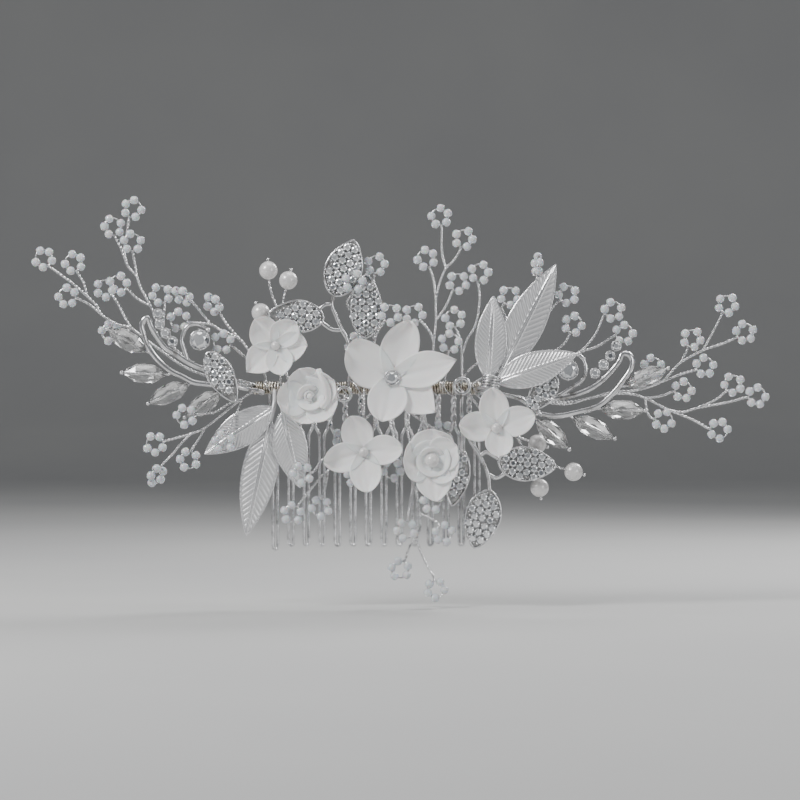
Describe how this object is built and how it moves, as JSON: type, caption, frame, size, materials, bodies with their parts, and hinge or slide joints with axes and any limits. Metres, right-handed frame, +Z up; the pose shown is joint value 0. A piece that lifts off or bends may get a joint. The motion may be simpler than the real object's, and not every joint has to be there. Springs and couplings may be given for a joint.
{
  "type": "decorative hair comb",
  "caption": "Wire hair comb carrying a spray of clay flowers, veined leaves, stone-set swirls, hanging crystals, pearls and seed-bead loops.",
  "frame": {"origin": "middle of the comb's spine, on the axis of the wire bundle", "axes": "+X along the spine to the onlooker's right, +Z up out of the hair away from the tooth tips, -Y towards the onlooker, where the ornament is"},
  "size_m": [0.1853, 0.0145, 0.1019],
  "materials": {
    "silver_wire": "bright silver plated wire",
    "cast_silver": "polished cast silver plate, slightly darkened in the recesses",
    "frosted_silver": "frosted silver with bright rims and veins",
    "antique_wire": "dark antique binding wire",
    "seed_bead": "milky translucent glass",
    "pearl": "soft pearl lustre",
    "crystal": "clear faceted glass",
    "rhinestone": "clear faceted stone with a silver back",
    "clay": "matte white modelling clay"
  },
  "bodies": {
    "comb": {"comb_teeth": "silver_wire", "comb_spine": "silver_wire", "binding_wire": "antique_wire", "leaf_sprig_left": "frosted_silver", "leaf_sprig_right": "frosted_silver", "leaf_collar": "cast_silver", "swirl_left": "cast_silver", "swirl_left_stones": "rhinestone", "swirl_right": "cast_silver", "swirl_right_stones": "rhinestone", "pave_branch_upper": "cast_silver", "pave_upper_stones": "rhinestone", "pave_branch_lower": "cast_silver", "pave_lower_stones": "rhinestone", "flower_1_petals": "clay", "flower_2_petals": "clay", "flower_3_petals": "clay", "flower_4_petals": "clay", "flower_5_petals": "clay", "flower_6_petals": "clay", "flower_centres": "rhinestone", "flower_stems": "silver_wire", "crystal_pins_left": "silver_wire", "crystal_pins_right": "silver_wire", "pearl_wires_upper": "silver_wire", "pearl_wires_lower": "silver_wire", "outer_left_beads": "seed_bead", "outer_left_wire": "silver_wire", "upper_left_beads": "seed_bead", "upper_left_wire": "silver_wire", "lower_left_beads": "seed_bead", "lower_left_wire": "silver_wire", "top_beads": "seed_bead", "top_wire": "silver_wire", "upper_right_beads": "seed_bead", "upper_right_wire": "silver_wire", "outer_right_beads": "seed_bead", "outer_right_wire": "silver_wire", "lower_right_beads": "seed_bead", "lower_right_wire": "silver_wire", "bottom_beads": "seed_bead", "bottom_wire": "silver_wire"},
    "crystal_left_1": {"crystal_left_1": "crystal"},
    "crystal_left_2": {"crystal_left_2": "crystal"},
    "crystal_left_3": {"crystal_left_3": "crystal"},
    "crystal_left_4": {"crystal_left_4": "crystal"},
    "crystal_right_1": {"crystal_right_1": "crystal"},
    "crystal_right_2": {"crystal_right_2": "crystal"},
    "crystal_right_3": {"crystal_right_3": "crystal"},
    "crystal_right_4": {"crystal_right_4": "crystal"},
    "pearl_upper_1": {"pearl_upper_1": "pearl"},
    "pearl_upper_2": {"pearl_upper_2": "pearl"},
    "pearl_upper_3": {"pearl_upper_3": "pearl"},
    "pearl_lower_1": {"pearl_lower_1": "pearl"},
    "pearl_lower_2": {"pearl_lower_2": "pearl"},
    "pearl_lower_3": {"pearl_lower_3": "pearl"}
  },
  "joints": [
    {"name": "crystal_left_1_spin", "type": "hinge", "parent": "comb", "child": "crystal_left_1", "pos_m": [-0.06175, -0.0045, 0.0119], "axis": [0.8682, 0, -0.4961], "continuous": true},
    {"name": "crystal_left_2_spin", "type": "hinge", "parent": "comb", "child": "crystal_left_2", "pos_m": [-0.05735, -0.0045, 0.00365], "axis": [0.9989, 0, -0.0476], "continuous": true},
    {"name": "crystal_left_3_spin", "type": "hinge", "parent": "comb", "child": "crystal_left_3", "pos_m": [-0.05125, -0.0045, -0.00135], "axis": [0.9037, 0, 0.4281], "continuous": true},
    {"name": "crystal_left_4_spin", "type": "hinge", "parent": "comb", "child": "crystal_left_4", "pos_m": [-0.04265, -0.0045, -0.004], "axis": [0.817, 0, 0.5767], "continuous": true},
    {"name": "crystal_right_1_spin", "type": "hinge", "parent": "comb", "child": "crystal_right_1", "pos_m": [0.0681, -0.0045, 0.00265], "axis": [-0.9225, 0, -0.386], "continuous": true},
    {"name": "crystal_right_2_spin", "type": "hinge", "parent": "comb", "child": "crystal_right_2", "pos_m": [0.06205, -0.0045, -0.00545], "axis": [-0.9996, 0, 0.0286], "continuous": true},
    {"name": "crystal_right_3_spin", "type": "hinge", "parent": "comb", "child": "crystal_right_3", "pos_m": [0.05475, -0.0045, -0.00995], "axis": [-0.8962, 0, 0.4436], "continuous": true},
    {"name": "crystal_right_4_spin", "type": "hinge", "parent": "comb", "child": "crystal_right_4", "pos_m": [0.04455, -0.0045, -0.0115], "axis": [-0.7399, 0, 0.6727], "continuous": true},
    {"name": "pearl_upper_1_spin", "type": "hinge", "parent": "comb", "child": "pearl_upper_1", "pos_m": [-0.0265, -0.003, 0.0295], "axis": [0.0571, 0, -0.9984], "continuous": true},
    {"name": "pearl_upper_2_spin", "type": "hinge", "parent": "comb", "child": "pearl_upper_2", "pos_m": [-0.0215, -0.003, 0.027], "axis": [-0.2577, 0, -0.9662], "continuous": true},
    {"name": "pearl_upper_3_spin", "type": "hinge", "parent": "comb", "child": "pearl_upper_3", "pos_m": [-0.0285, -0.0012, 0.019], "axis": [0.4801, -0.0873, -0.8729], "continuous": true},
    {"name": "pearl_lower_1_spin", "type": "hinge", "parent": "comb", "child": "pearl_lower_1", "pos_m": [0.0415, -0.0026, -0.025], "axis": [-0.1414, 0, 0.9899], "continuous": true},
    {"name": "pearl_lower_2_spin", "type": "hinge", "parent": "comb", "child": "pearl_lower_2", "pos_m": [0.05, -0.003, -0.021], "axis": [-0.9594, 0, 0.2822], "continuous": true},
    {"name": "pearl_lower_3_spin", "type": "hinge", "parent": "comb", "child": "pearl_lower_3", "pos_m": [0.041, -0.001, -0.014], "axis": [-0.9337, -0.1601, 0.3201], "continuous": true}
  ]
}
